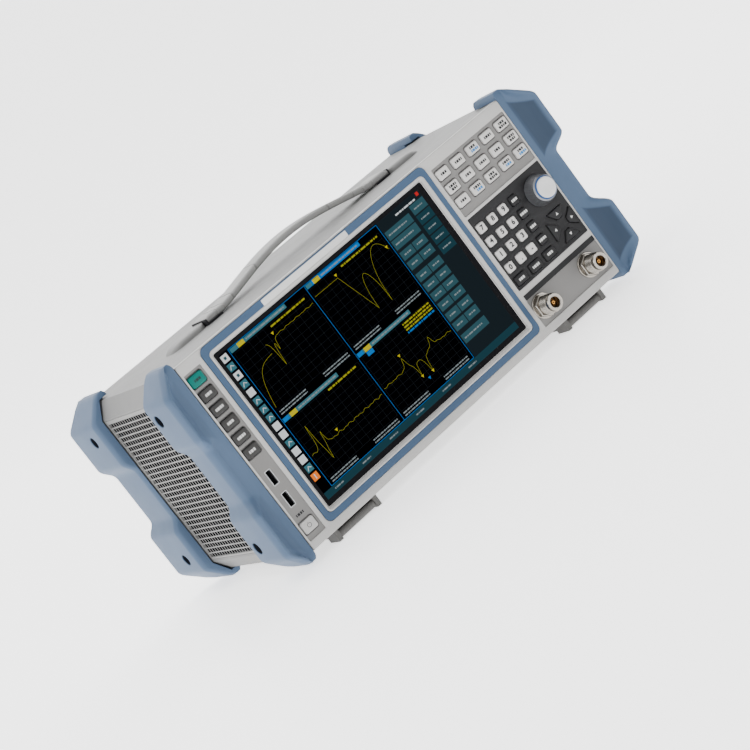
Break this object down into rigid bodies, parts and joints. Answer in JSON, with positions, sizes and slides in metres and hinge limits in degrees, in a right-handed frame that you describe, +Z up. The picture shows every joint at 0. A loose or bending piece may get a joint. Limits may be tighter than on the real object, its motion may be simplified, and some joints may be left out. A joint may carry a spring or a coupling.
{
  "type": "vector network analyzer",
  "caption": "Bench vector network analyzer with a touch screen, keypad, push-and-turn knob, coaxial test ports, blue corner bumpers, strap handle and fold-out feet.",
  "frame": {"origin": "centre of the footprint at the level of the feet's undersides", "axes": "+Z up, +X to the right seen from the front, the front panel faces -Y"},
  "size_m": [0.408, 0.235, 0.1982],
  "materials": {
    "panel_plastic": "fine moulded texture",
    "surround_blue": "satin",
    "black_glass": "gloss, opaque black with a lit picture area",
    "zinc_steel": "zinc plated",
    "key_white": "fine matt",
    "key_dark": "fine matt",
    "key_teal": "fine matt",
    "nickel": "nickel plated",
    "knob_silver": "satin silver with a blue ring and a white cap",
    "casing_paint": "powder coat",
    "bumper_blue": "soft matt",
    "handle_rubber": "soft moulded",
    "foot_dark": "matt",
    "foot_rubber": "ribbed",
    "circuit_board": "solder resist"
  },
  "bodies": {
    "chassis": {"front_bezel": "panel_plastic", "screen_surround": "surround_blue", "display_glass": "black_glass", "lcd_module": "zinc_steel", "number_keymat": "key_white", "usb_sockets": "zinc_steel", "rf_port_1": "nickel", "rf_port_2": "nickel", "top_cover": "casing_paint", "bottom_cover": "casing_paint", "side_grille_left": "casing_paint", "side_grille_right": "casing_paint", "rear_frame": "casing_paint", "power_inlet": "key_dark", "front_bumper_left": "bumper_blue", "front_bumper_right": "bumper_blue", "rear_bumper_left": "bumper_blue", "rear_bumper_right": "bumper_blue", "carry_handle": "handle_rubber", "handle_anchor_left": "panel_plastic", "handle_anchor_right": "panel_plastic", "front_foot_left": "foot_dark", "front_foot_right": "foot_dark", "rear_foot_left": "foot_dark", "rear_foot_right": "foot_dark", "main_board": "circuit_board", "rf_module": "zinc_steel", "power_supply": "zinc_steel", "fan_frame": "key_dark"},
    "function_key_11": {"function_key_11": "key_white"},
    "function_key_12": {"function_key_12": "key_white"},
    "function_key_13": {"function_key_13": "key_white"},
    "function_key_14": {"function_key_14": "key_white"},
    "function_key_15": {"function_key_15": "key_white"},
    "function_key_21": {"function_key_21": "key_white"},
    "function_key_22": {"function_key_22": "key_white"},
    "function_key_23": {"function_key_23": "key_white"},
    "function_key_24": {"function_key_24": "key_white"},
    "function_key_25": {"function_key_25": "key_white"},
    "function_key_31": {"function_key_31": "key_white"},
    "function_key_32": {"function_key_32": "key_white"},
    "function_key_33": {"function_key_33": "key_white"},
    "function_key_34": {"function_key_34": "key_white"},
    "function_key_35": {"function_key_35": "key_white"},
    "system_key_1": {"system_key_1": "key_dark"},
    "system_key_2": {"system_key_2": "key_dark"},
    "system_key_3": {"system_key_3": "key_dark"},
    "system_key_4": {"system_key_4": "key_dark"},
    "system_key_5": {"system_key_5": "key_dark"},
    "arrow_key_up": {"arrow_key_up": "key_dark"},
    "arrow_key_left": {"arrow_key_left": "key_dark"},
    "arrow_key_down": {"arrow_key_down": "key_dark"},
    "arrow_key_right": {"arrow_key_right": "key_dark"},
    "preset_key": {"preset_key": "key_teal"},
    "power_key": {"power_key": "panel_plastic"},
    "encoder_shaft": {"encoder_shaft": "zinc_steel"},
    "knob": {"knob": "knob_silver"},
    "foot_flap_left": {"foot_flap_left": "foot_rubber"},
    "foot_flap_right": {"foot_flap_right": "foot_rubber"},
    "fan_rotor": {"fan_rotor": "key_dark"}
  },
  "joints": [
    {"name": "function_key_11_press", "type": "slide", "parent": "chassis", "child": "function_key_11", "axis": [0, 1, 0], "range_m": [0, 0.001], "stiffness_N_per_m": 500, "springref_m": -0.0005},
    {"name": "function_key_12_press", "type": "slide", "parent": "chassis", "child": "function_key_12", "axis": [0, 1, 0], "range_m": [0, 0.001], "stiffness_N_per_m": 500, "springref_m": -0.0005},
    {"name": "function_key_13_press", "type": "slide", "parent": "chassis", "child": "function_key_13", "axis": [0, 1, 0], "range_m": [0, 0.001], "stiffness_N_per_m": 500, "springref_m": -0.0005},
    {"name": "function_key_14_press", "type": "slide", "parent": "chassis", "child": "function_key_14", "axis": [0, 1, 0], "range_m": [0, 0.001], "stiffness_N_per_m": 500, "springref_m": -0.0005},
    {"name": "function_key_15_press", "type": "slide", "parent": "chassis", "child": "function_key_15", "axis": [0, 1, 0], "range_m": [0, 0.001], "stiffness_N_per_m": 500, "springref_m": -0.0005},
    {"name": "function_key_21_press", "type": "slide", "parent": "chassis", "child": "function_key_21", "axis": [0, 1, 0], "range_m": [0, 0.001], "stiffness_N_per_m": 500, "springref_m": -0.0005},
    {"name": "function_key_22_press", "type": "slide", "parent": "chassis", "child": "function_key_22", "axis": [0, 1, 0], "range_m": [0, 0.001], "stiffness_N_per_m": 500, "springref_m": -0.0005},
    {"name": "function_key_23_press", "type": "slide", "parent": "chassis", "child": "function_key_23", "axis": [0, 1, 0], "range_m": [0, 0.001], "stiffness_N_per_m": 500, "springref_m": -0.0005},
    {"name": "function_key_24_press", "type": "slide", "parent": "chassis", "child": "function_key_24", "axis": [0, 1, 0], "range_m": [0, 0.001], "stiffness_N_per_m": 500, "springref_m": -0.0005},
    {"name": "function_key_25_press", "type": "slide", "parent": "chassis", "child": "function_key_25", "axis": [0, 1, 0], "range_m": [0, 0.001], "stiffness_N_per_m": 500, "springref_m": -0.0005},
    {"name": "function_key_31_press", "type": "slide", "parent": "chassis", "child": "function_key_31", "axis": [0, 1, 0], "range_m": [0, 0.001], "stiffness_N_per_m": 500, "springref_m": -0.0005},
    {"name": "function_key_32_press", "type": "slide", "parent": "chassis", "child": "function_key_32", "axis": [0, 1, 0], "range_m": [0, 0.001], "stiffness_N_per_m": 500, "springref_m": -0.0005},
    {"name": "function_key_33_press", "type": "slide", "parent": "chassis", "child": "function_key_33", "axis": [0, 1, 0], "range_m": [0, 0.001], "stiffness_N_per_m": 500, "springref_m": -0.0005},
    {"name": "function_key_34_press", "type": "slide", "parent": "chassis", "child": "function_key_34", "axis": [0, 1, 0], "range_m": [0, 0.001], "stiffness_N_per_m": 500, "springref_m": -0.0005},
    {"name": "function_key_35_press", "type": "slide", "parent": "chassis", "child": "function_key_35", "axis": [0, 1, 0], "range_m": [0, 0.001], "stiffness_N_per_m": 500, "springref_m": -0.0005},
    {"name": "system_key_1_press", "type": "slide", "parent": "chassis", "child": "system_key_1", "axis": [0, 1, 0], "range_m": [0, 0.001], "stiffness_N_per_m": 500, "springref_m": -0.0005},
    {"name": "system_key_2_press", "type": "slide", "parent": "chassis", "child": "system_key_2", "axis": [0, 1, 0], "range_m": [0, 0.001], "stiffness_N_per_m": 500, "springref_m": -0.0005},
    {"name": "system_key_3_press", "type": "slide", "parent": "chassis", "child": "system_key_3", "axis": [0, 1, 0], "range_m": [0, 0.001], "stiffness_N_per_m": 500, "springref_m": -0.0005},
    {"name": "system_key_4_press", "type": "slide", "parent": "chassis", "child": "system_key_4", "axis": [0, 1, 0], "range_m": [0, 0.001], "stiffness_N_per_m": 500, "springref_m": -0.0005},
    {"name": "system_key_5_press", "type": "slide", "parent": "chassis", "child": "system_key_5", "axis": [0, 1, 0], "range_m": [0, 0.001], "stiffness_N_per_m": 500, "springref_m": -0.0005},
    {"name": "preset_key_press", "type": "slide", "parent": "chassis", "child": "preset_key", "axis": [0, 1, 0], "range_m": [0, 0.001], "stiffness_N_per_m": 500, "springref_m": -0.0005},
    {"name": "arrow_key_up_press", "type": "slide", "parent": "chassis", "child": "arrow_key_up", "axis": [0, 1, 0], "range_m": [0, 0.001], "stiffness_N_per_m": 500, "springref_m": -0.0005},
    {"name": "arrow_key_left_press", "type": "slide", "parent": "chassis", "child": "arrow_key_left", "axis": [0, 1, 0], "range_m": [0, 0.001], "stiffness_N_per_m": 500, "springref_m": -0.0005},
    {"name": "arrow_key_down_press", "type": "slide", "parent": "chassis", "child": "arrow_key_down", "axis": [0, 1, 0], "range_m": [0, 0.001], "stiffness_N_per_m": 500, "springref_m": -0.0005},
    {"name": "arrow_key_right_press", "type": "slide", "parent": "chassis", "child": "arrow_key_right", "axis": [0, 1, 0], "range_m": [0, 0.001], "stiffness_N_per_m": 500, "springref_m": -0.0005},
    {"name": "power_key_press", "type": "slide", "parent": "chassis", "child": "power_key", "axis": [0, 1, 0], "range_m": [0, 0.0008], "stiffness_N_per_m": 500, "springref_m": -0.0005},
    {"name": "encoder_push", "type": "slide", "parent": "chassis", "child": "encoder_shaft", "axis": [0, 1, 0], "range_m": [0, 0.0005], "stiffness_N_per_m": 1500, "springref_m": -0.0005},
    {"name": "knob_turn", "type": "hinge", "parent": "encoder_shaft", "child": "knob", "pos_m": [0.1601, -0.098, 0.103], "axis": [0, -1, 0], "continuous": true},
    {"name": "foot_flap_left_fold", "type": "hinge", "parent": "chassis", "child": "foot_flap_left", "pos_m": [-0.1325, -0.091, 0.0039], "axis": [-1, 0, 0], "range_deg": [0, 100]},
    {"name": "foot_flap_right_fold", "type": "hinge", "parent": "chassis", "child": "foot_flap_right", "pos_m": [0.1325, -0.091, 0.0039], "axis": [-1, 0, 0], "range_deg": [0, 100]},
    {"name": "fan_spin", "type": "hinge", "parent": "chassis", "child": "fan_rotor", "pos_m": [-0.175, 0.006, 0.0895], "axis": [1, 0, 0], "continuous": true}
  ]
}
